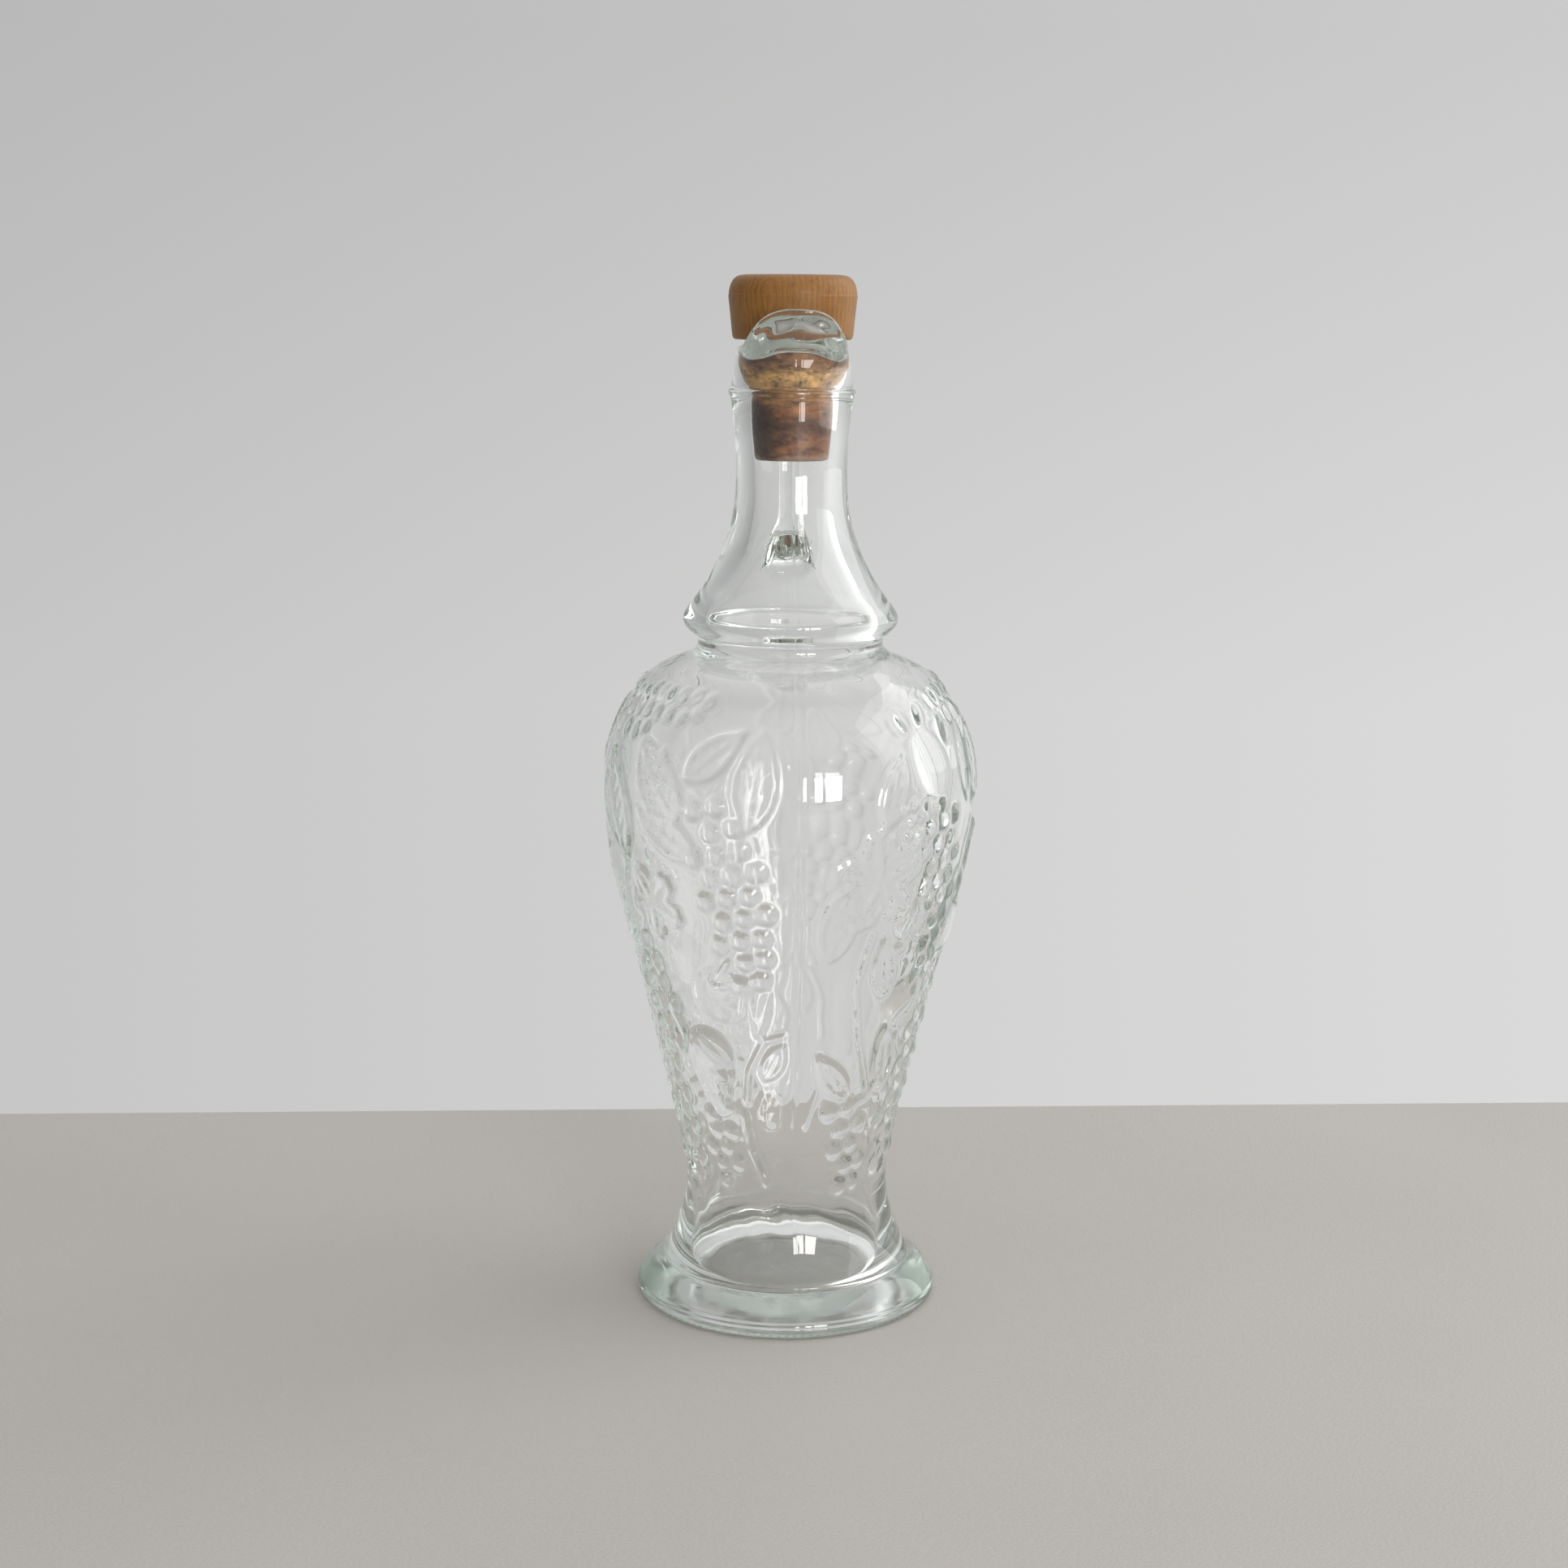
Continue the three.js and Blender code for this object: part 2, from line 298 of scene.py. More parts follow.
def emboss(relief):
    """The whole pattern: one half, then the same half again on the far side."""
    for turn in (0.0, 180.0):
        def at(angle, height, turn=turn):
            return (angle + turn, height)

        relief.leaf(*at(-14, 170), 30, 15, turn=-6, veins=4)
        relief.leaf(*at(-27, 176), 24, 12, turn=-48, veins=4)
        relief.leaf(*at(-48, 167), 30, 17, turn=38, veins=6)
        relief.leaf(*at(-44, 152), 26, 13, turn=62, veins=5)
        relief.leaf(*at(-70, 158), 34, 20, turn=18, veins=6)
        relief.leaf(*at(-84, 128), 36, 19, turn=-14, veins=6)
        relief.leaf(*at(-9, 84), 15, 8, turn=-24, veins=3)
        relief.leaf(*at(-13, 99), 17, 5, turn=-16, veins=3)
        relief.leaf(*at(-57, 92), 22, 11, turn=24, veins=4)
        relief.vine_leaf(*at(26, 139), 16.5, turn=8)
        relief.vine_leaf(*at(-53, 130), 12.5, turn=30)
        relief.leaf(*at(13, 128), 27, 13, turn=-10, veins=4)
        relief.leaf(*at(33, 112), 22, 10, turn=12, veins=4)
        relief.leaf(*at(30, 166), 24, 10, turn=-20, veins=4)
        relief.leaf(*at(76, 172), 30, 17, turn=-12, veins=6)
        relief.leaf(*at(41, 83), 24, 10, turn=8, veins=4)
        relief.leaf(*at(83, 136), 32, 17, turn=16, veins=6)
        relief.leaf(*at(16, 78), 20, 9, turn=34, veins=4)

        relief.bunch(at(-27, 161), at(-15, 109), 9.0, 3.3, tall=1.9)
        relief.bunch(at(-40, 64), at(-36, 43), 5.2, 2.7, tall=0.8)
        relief.bunch(at(-66, 116), at(-60, 84), 7.5, 3.0)
        relief.bunch(at(-68, 82), at(-62, 42), 6.2, 2.6, tall=0.8)
        relief.bunch(at(47, 160), at(58, 112), 10.5, 3.1)
        relief.bunch(at(24, 67), at(33, 42), 6.6, 2.8, tall=1.1)
        relief.bunch(at(66, 108), at(60, 44), 6.4, 2.7, tall=0.8)
        relief.bunch(at(-89, 108), at(-88, 46), 6.4, 2.7, tall=0.8)
        relief.bunch(at(35, 160), at(38, 149), 4.0, 1.7)

        relief.apple(*at(-29, 104), 9.6)
        relief.pear(*at(-38, 84), 8.6, turn=186)
        relief.apple(*at(47, 99), 8.6)
        relief.pear(*at(74, 118), 8.4, turn=4)
        relief.apple(*at(-75, 140), 8.8)
        relief.dome(*at(46, 172), 7.6, 11.5, 1.9, turn=14)
        relief.dome(*at(37, 184), 2.5, 4.4, 1.2, turn=18)
        relief.dome(*at(46, 185), 2.4, 4.6, 1.2, turn=-14)
        relief.dome(*at(41, 126), 6.0, 6.8, 1.7)
        relief.dome(*at(38, 117), 3.0, 2.2, 1.0)
        relief.dome(*at(57, 180), 3.0, 5.0, 1.2, turn=-20)

        relief.line([at(-17, 107), at(-17, 98), at(-13, 90), at(-5, 92)], 0.95, 0.95)
        relief.line([at(-13, 90), at(-20, 80), at(-22, 70)], 0.95, 0.95)
        relief.line([at(-24, 66), at(-22, 54), at(-15, 43)], 1.0, 1.0)
        relief.line([at(-31, 67), at(-38, 66)], 0.9, 1.0)
        relief.line([at(26, 122), at(22, 106), at(27, 88), at(36, 70), at(27, 68)], 0.95, 0.9)
        relief.line([at(36, 70), at(47, 88)], 0.9, 0.9)
        relief.line([at(46, 160), at(40, 150), at(30, 148)], 1.0, 0.95)
        relief.line([at(-27, 161), at(-36, 160), at(-46, 176)], 1.0, 0.95)
        relief.line([at(-66, 116), at(-60, 124)], 0.9, 0.95)
        relief.line([at(62, 108), at(70, 104), at(86, 114)], 0.9, 0.95)

        for row, height in enumerate((190.5, 185.5, 180.0)):
            for k in range(9 - row):
                angle = -84 + 6.2 * k + 3.1 * (row % 2) + RNG.uniform(-1.2, 1.2)
                if height > 182 or angle < -55:
                    relief.dome(*at(angle, height + RNG.uniform(-1, 1)), 2.4, 3.0, 0.8,
                                turn=RNG.uniform(-30, 30))
        for row, height in enumerate((189.5, 184.0)):
            for k in range(4 - row):
                angle = 62 + 6.4 * k + 3.2 * (row % 2) + RNG.uniform(-1.0, 1.0)
                relief.dome(*at(angle, height + RNG.uniform(-1, 1)), 2.3, 3.2, 0.8)

    # The back has no plain strip, so leaves run up its middle.
    relief.leaf(181, 178, 28, 15, turn=8, veins=4)
    relief.leaf(176, 154, 30, 16, turn=-16, veins=5)
    relief.vine_leaf(186, 128, 13.5, turn=14)
    relief.leaf(178, 103, 28, 13, turn=12, veins=4)
    relief.leaf(184, 79, 24, 11, turn=-14, veins=4)
    relief.leaf(178, 58, 20, 9, turn=10, veins=3)
    relief.soften(1)
    behind = 1.0 - 0.45 * smoothstep(95.0, 130.0, 180.0 - np.abs(relief.angles - 180.0))
    return relief.field * behind


# ---------------------------------------------------------------------------------------------
# Mesh building
# ---------------------------------------------------------------------------------------------


class Shell:
    """Rings of vertices joined into one closed skin. Coordinates are in millimetres."""

    def __init__(self):
        self.points = []
        self.faces = []

    def ring(self, xyz):
        start = len(self.points)
        self.points.extend(map(tuple, xyz))
        return np.arange(start, start + len(xyz))

    def join(self, a, b, skip=()):
        """Quads from ring a up to ring b, which has as many points, but for the columns in skip."""
        for j in range(len(a)):
            if j not in skip:
                k = (j + 1) % len(a)
                self.faces.append((a[j], a[k], b[k], b[j]))

    def cap(self, ring, centre, up):
        c = len(self.points)
        self.points.append(tuple(centre))
        n = len(ring)
        for j in range(n):
            k = (j + 1) % n
            self.faces.append((ring[j], ring[k], c) if up else (ring[k], ring[j], c))

    def build(self, name):
        mesh = bpy.data.meshes.new(name)
        mesh.from_pydata([tuple(c * MM for c in p) for p in self.points], [],
                         [tuple(int(i) for i in f) for f in self.faces])
        mesh.validate()
        mesh.update()
        mesh.shade_smooth()
        obj = bpy.data.objects.new(name, mesh)
        bpy.context.scene.collection.objects.link(obj)
        return obj


def around(count):
    """Column angles in degrees, from the front (-Y) towards +X."""
    return np.arange(count) * 360.0 / count


def circle(radius, height, angles):
    """Points of one ring; radius and height may vary round it."""
    a = np.radians(angles)
    r = np.zeros_like(a) + radius
    z = np.zeros_like(a) + height
    return np.stack([r * np.sin(a), -r * np.cos(a), z], axis=1)


def mouth(row, angles, ridge, dent):
    """Points of one ring of the mouth, between its side line and its front line.

    A ridge stands out all the way round. A dent pushes out and down, most at the front.
    """
    front = np.minimum(angles, 360.0 - angles)
    lean = np.exp(-((front / LIP_LEAN_ANGLE) ** 2.5))
    rise = np.exp(-((front / LIP_RISE_ANGLE) ** 3))
    side_radius, side_height, front_radius, front_height = row
    radius = side_radius + (front_radius - side_radius) * lean + ridge + dent * lean
    height = side_height + (front_height - side_height) * rise - dent * lean
    return circle(radius, height, angles)


def waves(angles, rows, seed, turns, spacing):
    """A gentle unevenness between about -1 and 1, periodic round the axis.

    It sums waves with up to so many turns round the axis, and a spacing in mm along the rows.
    """
    rng = np.random.default_rng(seed)
    a = np.radians(angles)[None, :]
    v = np.asarray(rows)[:, None]
    total = np.zeros((len(rows), len(angles)))
    for _ in range(WAVE_COUNT):
        k = rng.integers(1, turns)
        w = 2 * np.pi / rng.uniform(*spacing)
        total += np.sin(k * a + w * v + rng.uniform(0, 6.28)) * rng.uniform(0.5, 1.0)
    return total / WAVE_PEAK


def seam(angles, radius, width=0.55):
    """The mould's parting line at the front and the back, from 0 to 1."""
    near = np.minimum(np.abs((angles + 90.0) % 180.0 - 90.0), 90.0)
    return np.exp(-((np.radians(near) * radius / width) ** 2))


HANDLE_COLUMNS = 66
HANDLE_ROWS = 5
HANDLE_TOP = 269.2
HANDLE_FOOT = 226.0
HANDLE_PATH = [[22.0, 272.3], [31.0, 271.6], [38.4, 266.6], [42.0, 258.0], [41.2, 247.5],
               [36.5, 238.0], [29.5, 231.2]]
HANDLE_HALF_WIDTH = 4.9
HANDLE_HALF_THICKNESS = 4.1
HANDLE_RINGS = 60
HANDLE_CROWDING = 0.055
ROOT_FLARE_WIDTH = 2.0
ROOT_FLARE_THICKNESS = 0.5
LOWER_ROOT_WIDENING = 1.2
LOWER_ROOT_THINNING = 1.7
ROOT_REACH = 9.5


def round_windows(angles, height, windows):
    """Bends the grid round each rectangular window, given as (centre, half height), into an oval."""
    half_angle = 180.0 * HANDLE_COLUMNS / COLUMNS
    a, z = angles.copy(), np.full_like(angles, height)
    for centre, half_height in windows:
        px, pz = (angles - 180.0) / half_angle, (height - centre) / half_height
        edge = np.maximum(np.abs(px), abs(pz))
        weight = 1.0 - smoothstep(1.0, 1.5, edge)
        scale = 1.0 - weight + weight * edge / (np.hypot(px, pz) + 1e-9)
        near = edge < 1.5
        a[near] = (180.0 + px * scale * half_angle)[near]
        z[near] = (centre + pz * scale * half_height)[near]
    return a, z


def patch_loop(rings, low, first, flip):
    """The vertices round a window of HANDLE_ROWS x HANDLE_COLUMNS quads.

    It runs anticlockwise from the low left corner, or flipped, clockwise from the high left one.
    """
    columns = range(first, first + HANDLE_COLUMNS + 1)
    rows = range(low, low + HANDLE_ROWS + 1)
    if flip:
        rows = rows[::-1]
    loop = [rings[rows[0]][j] for j in columns]
    loop += [rings[i][columns[-1]] for i in rows[1:]]
    loop += [rings[rows[-1]][j] for j in reversed(columns[:-1])]
    loop += [rings[i][first] for i in reversed(rows[1:-1])]
    return loop


def add_handle(shell, top_loop, foot_loop):
    """A swept oval bar that grows out of the neck at both ends with no join in the glass."""
    top = np.array([shell.points[i] for i in top_loop])
    foot = np.array([shell.points[i] for i in foot_loop])
    start = np.array([0.0, top[:, 1].max(), 0.5 * (top[:, 2].min() + top[:, 2].max())])
    end = np.array([0.0, foot[:, 1].max(), 0.5 * (foot[:, 2].min() + foot[:, 2].max())])
    line = catmull([start[1:]] + HANDLE_PATH + [end[1:]], 0.5)
    step = np.concatenate([[0.0], np.cumsum(np.hypot(*np.diff(line, axis=0).T))])
    length = step[-1]
    even = np.linspace(0.0, 1.0, HANDLE_RINGS)
    eased = even - HANDLE_CROWDING * np.sin(2 * np.pi * even)
    tangent = np.gradient(line, step, axis=0)
    tangent /= np.linalg.norm(tangent, axis=1)[:, None]
    turn = np.arctan2((top[:, 2] - start[2]) / np.ptp(top[:, 2]), top[:, 0] / np.ptp(top[:, 0]))
    previous = np.array(top_loop)
    for u in eased[1:-1]:
        y, z = (np.interp(u * length, step, line[:, k]) for k in (0, 1))
        ty, tz = (np.interp(u * length, step, tangent[:, k]) for k in (0, 1))
        low = smoothstep(0.72, 1.0, u)
        near_root = abs(2 * u - 1) ** 4
        wide = HANDLE_HALF_WIDTH + ROOT_FLARE_WIDTH * near_root + LOWER_ROOT_WIDENING * low
        thick = HANDLE_HALF_THICKNESS + ROOT_FLARE_THICKNESS * near_root - LOWER_ROOT_THINNING * low
        across, out = wide * np.cos(turn), thick * np.sin(turn)
        bar = np.stack([across, y - out * tz, z + out * ty], axis=1)
        near_top = 1.0 - smoothstep(0.0, 0.13, u)
        near_foot = smoothstep(0.85, 1.0, u)
        at = np.array([0.0, y, z])
        bar = bar * (1 - near_top) + (top - start + at) * near_top
        bar = bar * (1 - near_foot) + (foot - end + at) * near_foot
        ring = shell.ring(bar)
        shell.join(previous, ring)
        previous = ring
    shell.join(previous, np.array(foot_loop))


def settle(obj, chosen, rounds, factor):
    """Evens out the chosen vertices, which rounds off the handle's roots."""
    mesh = obj.data
    count = len(mesh.vertices)
    co = np.empty(count * 3)
    mesh.vertices.foreach_get("co", co)
    co = co.reshape(-1, 3)
    ends = np.empty(len(mesh.edges) * 2, dtype=np.int64)
    mesh.edges.foreach_get("vertices", ends)
    a, b = ends.reshape(-1, 2).T
    order = np.full(count, -1)
    order[chosen] = np.arange(len(chosen))
    here = np.concatenate([a, b])
    there = np.concatenate([b, a])
    there, here = there[order[here] >= 0], order[here[order[here] >= 0]]
    degree = np.bincount(here, minlength=len(chosen))[:, None]
    for _ in range(rounds):
        mean = np.stack([np.bincount(here, co[there, k], len(chosen)) for k in range(3)], 1) / degree
        co[chosen] += factor * (mean - co[chosen])
    mesh.vertices.foreach_set("co", co.ravel())
    mesh.update()


def build_glass():
    """The bottle as one closed skin, from the underside up the outside and down the inside."""
    shell = Shell()
    fine = around(COLUMNS)
    rings = [shell.ring(circle(radius, UNDERSIDE_RECESS * part, fine)) for radius, part in UNDERSIDE]
    shell.cap(rings[0], (0.0, 0.0, UNDERSIDE_RECESS), up=False)

    # Foot, with the knurled bearing edge and the fine steps of the mould.
    teeth = 0.5 * np.cos(np.radians(fine) * KNURL_TEETH)
    foot = catmull(FOOT, 0.4)
    foot_wave = FOOT_WAVE * waves(fine, foot[:, 1], 3, 20, (7.0, 24.0))
    for i, (radius, height) in enumerate(foot):
        knurl = KNURL_DEPTH * np.exp(-((height / KNURL_HEIGHT) ** 2)) * teeth
        steps = STEP_DEPTH * np.sin(2 * np.pi * height / STEP_PITCH)
        steps *= np.exp(-(((height - STEPS_CENTRE) / STEPS_SPREAD) ** 2))
        r = radius + steps + foot_wave[i] + knurl + SEAM_FOOT * seam(fine, radius)
        rings.append(shell.ring(circle(r, height, fine)))
    for radius, height in catmull(CREASE, 0.45)[1:]:
        rings.append(shell.ring(circle(radius + SEAM_CREASE * seam(fine, radius), height, fine)))

    # Body, with the embossing.
    body = catmull(BODY, 0.7)
    relief = Relief(fine, body[:, 0], body[:, 1])
    raised = emboss(relief)
    uneven = BODY_LONG_WAVE * waves(fine, relief.along, 5, 9, (14.0, 60.0))
    uneven += BODY_SHORT_WAVE * waves(fine, relief.along, 6, 26, (8.0, 18.0))
    slope = np.gradient(body, axis=0)
    slope /= np.linalg.norm(slope, axis=1)[:, None]
    for i in range(1, len(body)):
        lift = raised[i] + uneven[i] + SEAM_BODY * seam(fine, body[i, 0], 0.7)
        r = body[i, 0] + lift * slope[i, 1]
        z = body[i, 1] - lift * slope[i, 0]
        rings.append(shell.ring(circle(r, z, fine)))

    # Ring and neck. The handle grows out of two windows left in it.
    neck = catmull(NECK_RING, 1.3)[1:]
    neck_start = len(rings)
    first = COLUMNS // 2 - HANDLE_COLUMNS // 2
    lows = [int(np.argmin(np.abs(neck[:, 1] - height))) - HANDLE_ROWS // 2
            for height in (HANDLE_TOP, HANDLE_FOOT)]
    spans = [(neck[low, 1], neck[low + HANDLE_ROWS, 1]) for low in lows]
    ovals = [(0.5 * (a + b), 0.5 * (b - a)) for a, b in spans]
    neck_wave = NECK_WAVE * waves(fine, neck[:, 1], 8, 6, (12.0, 50.0))
    for i, (radius, height) in enumerate(neck):
        angles, heights = round_windows(fine, height, ovals)
        r = np.interp(heights, neck[:, 1], neck[:, 0]) + neck_wave[i]
        r += SEAM_NECK * seam(angles, radius)
        rings.append(shell.ring(circle(r, heights, angles)))
    neck_end = len(shell.points)
    for radius, height in catmull(COLLAR, 0.6)[1:]:
        rings.append(shell.ring(circle(radius + SEAM_MOUTH * seam(fine, radius), height, fine)))

    # Mouth and pouring lip, a little uneven between its two ends.
    face, rim, scoop = (catmull(run, step)[1:] for run, step in
                        ((LIP_FACE, 1.6), (LIP_RIM, 0.5), (LIP_SCOOP, 1.0)))
    lip = np.vstack([face, rim, scoop])
    along = np.concatenate([[0.0], np.cumsum(np.hypot(*np.diff(lip[:, 2:], axis=0).T))])
    ends = smoothstep(0.0, 5.0, along) * smoothstep(0.0, 5.0, along[-1] - along)
    dents = LIP_WAVE * waves(fine, along, 51, 15, (5.0, 16.0)) * ends[:, None]
    for i, row in enumerate(lip):
        ridge = SEAM_MOUTH * seam(fine, row[0]) if i < len(face) else 0.0
        rings.append(shell.ring(mouth(row, fine, ridge, dents[i])))

    windows = {}
    loops = []
    for low, flip in zip(lows, (False, True)):
        for i in range(neck_start + low, neck_start + low + HANDLE_ROWS):
            windows[i] = range(first, first + HANDLE_COLUMNS)
        loops.append(patch_loop(rings, neck_start + low, first, flip))

    # Cavity, then the slightly domed floor.
    inner = []
    cavity = catmull(CAVITY, 1.7)[1:]
    hollow = CAVITY_WAVE * waves(fine, cavity[:, 1], 21, 6, (22.0, 80.0))
    hollow *= smoothstep(0.0, 40.0, 252.0 - cavity[:, 1])[:, None]
    for i, (radius, height) in enumerate(cavity):
        inner.append(shell.ring(circle(radius + hollow[i], height, fine)))
    radii = np.linspace(*FLOOR_RADII)
    ripple = waves(fine, radii, 33, 8, (7.0, 20.0)) * smoothstep(0.0, 12.0, radii)[:, None]
    for k, radius in enumerate(radii):
        dish = FLOOR_DISH * (1.0 - (radius / CAVITY[-1][0]) ** 2)
        level = FLOOR_HEIGHT + dish + FLOOR_WAVE * ripple[k]
        inner.append(shell.ring(circle(radius, level, fine)))

    chain = rings + inner
    for i in range(len(chain) - 1):
        shell.join(chain[i], chain[i + 1], skip=windows.get(i, ()))
    shell.cap(chain[-1], (0.0, 0.0, FLOOR_HEIGHT + FLOOR_DISH), up=True)
    before = len(shell.points)
    add_handle(shell, *loops)

    obj = shell.build("glass_bottle_detail")
    points = np.array(shell.points)
    index = np.arange(len(points))
    outside = (index >= before) | ((index >= rings[neck_start][0]) & (index < neck_end))
    for centre, _ in ovals:
        root = np.array([0.0, np.interp(centre, neck[:, 1], neck[:, 0]), centre])
        near = np.linalg.norm(points - root, axis=1) < ROOT_REACH
        below_collar = points[:, 2] < COLLAR[0][1] - 0.3
        settle(obj, index[near & outside & below_collar], 60, 0.5)
    return obj


# ---------------------------------------------------------------------------------------------
# Stopper: millimetres. The head's profile is given above its own underside.
# ---------------------------------------------------------------------------------------------

HEAD_SIDE = [[16.5, 0.0], [17.1, 0.15], [17.55, 0.6], [17.75, 1.4]]
HEAD_WALL = [[17.75, 1.4], [18.0, 3.8], [18.3, 7.0], [18.65, 10.2], [18.92, 12.7]]
HEAD_SHOULDER = [[18.78, 12.85], [18.7, 14.0], [18.3, 15.7], [17.4, 17.3], [16.0, 18.3],
                 [14.2, 18.65]]
HEAD_TOP = [[14.2, 18.65], [8.0, 18.75], [2.0, 18.7]]
HEAD_TOP_CENTRE = 18.68
HEAD_CHATTER = 0.018
SOCKET_RADIUS = 12.35
SOCKET_DEPTH = 8.2
HEAD_COLUMNS = 180
# Head's underside, from the socket's floor out to the edge.
HEAD_UNDERSIDE = [[2.5, SOCKET_DEPTH], [SOCKET_RADIUS - 0.25, SOCKET_DEPTH],
                  [SOCKET_RADIUS, SOCKET_DEPTH - 0.25], [SOCKET_RADIUS, 4.0],
                  [SOCKET_RADIUS, 0.5], [SOCKET_RADIUS + 0.3, 0.1], [SOCKET_RADIUS + 0.9, 0.0],
                  [15.2, 0.0]]

CORK_SIDE = [[10.2, 0.0], [10.65, 0.25], [10.9, 0.9], [11.1, 3.0], [11.4, 6.2], [11.7, 9.6],
             [11.9, 13.5], [12.05, 18.8], [12.1, 26.0], [12.1, 34.4], [11.95, 36.0], [11.95, 41.5],
             [11.6, 42.3]]
CORK_TOP = 42.4
CORK_DISH = 0.15
CORK_COLUMNS = 200
CORK_DENTS = 190
CORK_ROUGHNESS = 0.05
CORK_CHIPS = 0.35


def build_head():
    """The turned head, with the socket that the cork is glued into."""
    shell = Shell()
    angles = around(HEAD_COLUMNS)
    rings = [shell.ring(circle(radius, height + HEAD_BOTTOM, angles))
             for radius, height in HEAD_UNDERSIDE]
    runs = [catmull(run, 0.45) for run in (HEAD_SIDE, HEAD_WALL, HEAD_SHOULDER, HEAD_TOP)]
    outline = np.vstack([runs[0], runs[1][1:], runs[2], runs[3][1:]])
    chatter = waves(angles, outline[:, 1], 17, 60, (2.0, 7.0))
    for i, (radius, height) in enumerate(outline):
        r = radius + HEAD_CHATTER * chatter[i]
        rings.append(shell.ring(circle(r, height + HEAD_BOTTOM, angles)))
    for a, b in zip(rings[:-1], rings[1:]):
        shell.join(a, b)
    shell.cap(rings[0], (0.0, 0.0, HEAD_BOTTOM + SOCKET_DEPTH), up=False)
    shell.cap(rings[-1], (0.0, 0.0, HEAD_BOTTOM + HEAD_TOP_CENTRE), up=True)
    return shell.build("stopper_head_detail")


def build_cork():
    """A cut cork: a worn lower edge, small pores and a few longer lenticels."""
    shell = Shell()
    angles = around(CORK_COLUMNS)
    outline = catmull(CORK_SIDE, 0.42)
    rng = np.random.default_rng(29)
    dents = np.zeros((len(outline), CORK_COLUMNS))
    heights = outline[:, 1]
    for _ in range(CORK_DENTS):
        a, z = rng.uniform(0, 360), rng.uniform(0.3, 42.0)
        wide, tall = rng.uniform(0.35, 1.7), rng.uniform(0.25, 0.6)
        off = np.radians((angles - a + 180) % 360 - 180) * 12.0
        spot = np.exp(-((off[None, :] / wide) ** 2) - ((heights[:, None] - z) / tall) ** 2)
        dents = np.maximum(dents, rng.uniform(0.12, 0.42) * spot)
    rough = CORK_ROUGHNESS * waves(angles, heights, 41, 40, (1.5, 9.0))
    chips = CORK_CHIPS * np.clip(waves(angles, heights, 43, 26, (4.0, 9.0)), 0, 1)
    chips *= np.exp(-((heights / 0.9) ** 2))[:, None]
    rings = [shell.ring(circle(3.0, CORK_BOTTOM + 0.12, angles)),
             shell.ring(circle(7.5, CORK_BOTTOM + 0.05, angles))]
    for i, (radius, height) in enumerate(outline):
        r = radius - dents[i] + rough[i] - chips[i]
        rings.append(shell.ring(circle(r, height + CORK_BOTTOM, angles)))
    rings.append(shell.ring(circle(6.0, CORK_BOTTOM + CORK_TOP, angles)))
    for a, b in zip(rings[:-1], rings[1:]):
        shell.join(a, b)
    shell.cap(rings[0], (0.0, 0.0, CORK_BOTTOM + CORK_DISH), up=False)
    shell.cap(rings[-1], (0.0, 0.0, CORK_BOTTOM + CORK_TOP), up=True)
    return shell.build("stopper_cork_detail")


# ---------------------------------------------------------------------------------------------
# Materials
# ---------------------------------------------------------------------------------------------


class Nodes:
    """A short way to make and link shader nodes."""

    def __init__(self, name):
        self.material = bpy.data.materials.new(name)
        self.material.use_nodes = True
        self.tree = self.material.node_tree
        self.shader = self.tree.nodes["Principled BSDF"]
        self.output = self.tree.nodes["Material Output"]

    def add(self, kind, inputs=None, **settings):
        node = self.tree.nodes.new("ShaderNode" + kind)
        for key, value in settings.items():
            setattr(node, key, value)
        for key, value in (inputs or {}).items():
            if isinstance(value, bpy.types.NodeSocket):
                self.tree.links.new(value, node.inputs[key])
            else:
                node.inputs[key].default_value = value
        return node

    def mix(self, factor, a, b, blend="MIX"):
        node = self.add("Mix", data_type="RGBA", blend_type=blend)
        for index, value in ((0, factor), (6, a), (7, b)):
            if isinstance(value, bpy.types.NodeSocket):
                self.tree.links.new(value, node.inputs[index])
            else:
                node.inputs[index].default_value = value
        return node.outputs[2]

    def ramp(self, source, stops):
        node = self.add("ValToRGB", {"Fac": source})
        ramp = node.color_ramp
        while len(ramp.elements) < len(stops):
            ramp.elements.new(0.5)
        for element, (place, colour) in zip(ramp.elements, stops):
            element.position = place
            element.color = colour if len(colour) == 4 else (*colour, 1.0)
        return node.outputs["Color"]

    def place(self, location=(0, 0, 0), rotation=(0, 0, 0), scale=(1, 1, 1)):
        where = self.add("TexCoord")
        return self.add("Mapping", {"Vector": where.outputs["Object"], "Location": location,
                                    "Rotation": rotation, "Scale": scale}).outputs["Vector"]

    def noise(self, vector, scale, detail=4.0, rough=0.55):
        return self.add("TexNoise", {"Vector": vector, "Scale": scale, "Detail": detail,
                                     "Roughness": rough}).outputs["Fac"]

    def math(self, operation, a, b):
        node = self.add("Math", operation=operation)
        for index, value in ((0, a), (1, b)):
            if isinstance(value, bpy.types.NodeSocket):
                self.tree.links.new(value, node.inputs[index])
            else:
                node.inputs[index].default_value = value
        return node.outputs[0]

    def surface(self, **inputs):
        for key, value in inputs.items():
            socket = self.shader.inputs[key.replace("_", " ")]
            if isinstance(value, bpy.types.NodeSocket):
                self.tree.links.new(value, socket)
            else:
                socket.default_value = value

    def bump(self, height, strength, distance):
        node = self.add("Bump", {"Height": height, "Strength": strength, "Distance": distance})
        self.tree.links.new(node.outputs["Normal"], self.shader.inputs["Normal"])


def grey(v):
    return (v, v, v, 1.0)


